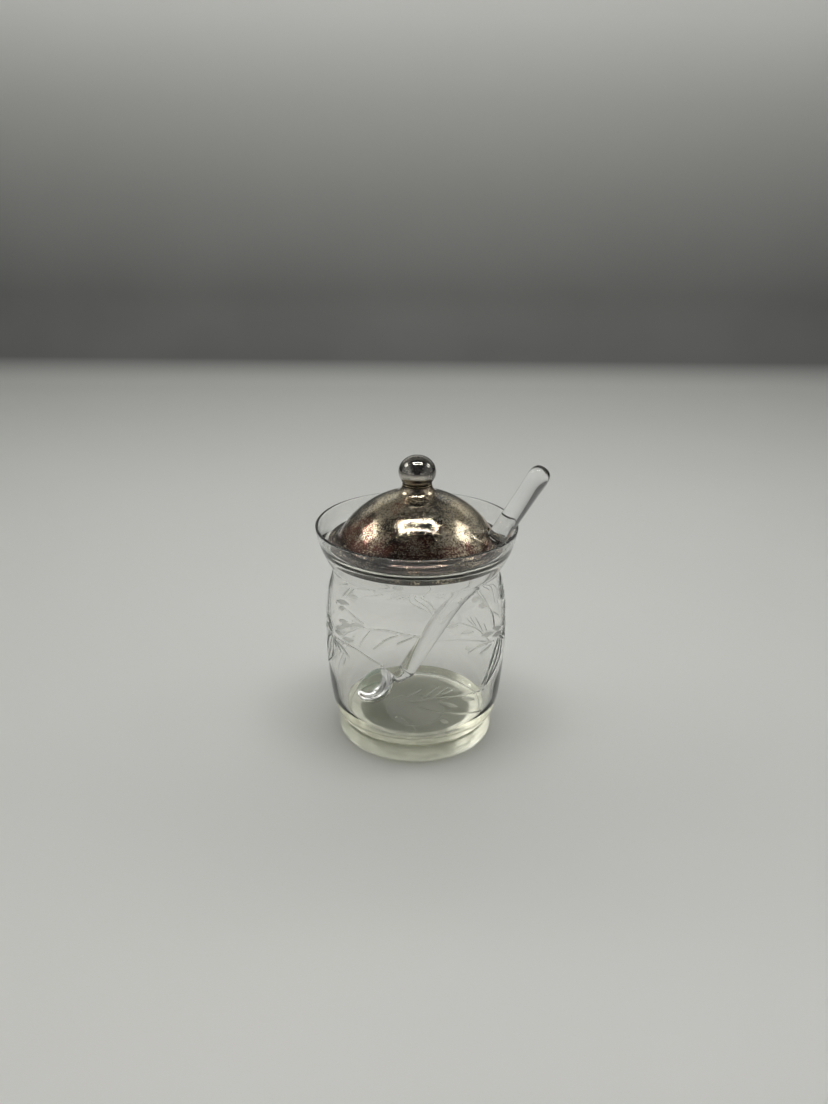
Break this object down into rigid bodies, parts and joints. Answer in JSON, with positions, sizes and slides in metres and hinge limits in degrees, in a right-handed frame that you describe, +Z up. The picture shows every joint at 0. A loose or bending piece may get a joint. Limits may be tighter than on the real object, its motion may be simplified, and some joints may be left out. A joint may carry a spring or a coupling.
{
  "type": "lidded jam jar with spoon",
  "caption": "Waisted clear cut-glass jar with a flared rim, a domed silver-plated lid with ball knob and spoon notch, and a bent glass spoon.",
  "frame": {"origin": "centre of the jar's flat base, on the table plane", "axes": "+Z up along the jar's axis, -Y the front, and the spoon leans towards +X, turned 13.7 degrees towards -Y"},
  "size_m": [0.0832, 0.074, 0.1088],
  "materials": {
    "jar_glass": "clear, faintly yellow-green in the thick base, wheel-cut matte sprays",
    "lid_silver": "tarnished silver plate over brass, fine circular wear and speckle",
    "bezel_silver": "tarnished silver plate over brass",
    "ball_silver": "bright worn silver plate over brass",
    "collar_silver": "tarnished silver plate over brass",
    "stud_brass": "plain",
    "washer_brass": "plain",
    "nut_brass": "plain",
    "handle_glass": "clear, fire-polished",
    "bowl_glass": "clear, fire-polished"
  },
  "bodies": {
    "jar": {"jar_body": "jar_glass"},
    "lid": {"lid_dome": "lid_silver", "lid_bezel": "bezel_silver", "finial_ball": "ball_silver", "finial_collar": "collar_silver", "finial_stud": "stud_brass", "finial_washer": "washer_brass", "finial_nut": "nut_brass"},
    "spoon": {"spoon_handle": "handle_glass", "spoon_bowl": "bowl_glass"}
  },
  "joints": [
    {"name": "lid_lift", "type": "slide", "parent": "jar", "child": "lid", "axis": [0, 0, 1], "range_m": [0, 0.08]},
    {"name": "spoon_draw", "type": "slide", "parent": "jar", "child": "spoon", "axis": [0.4755, -0.1159, 0.8721], "range_m": [0, 0.05]}
  ]
}
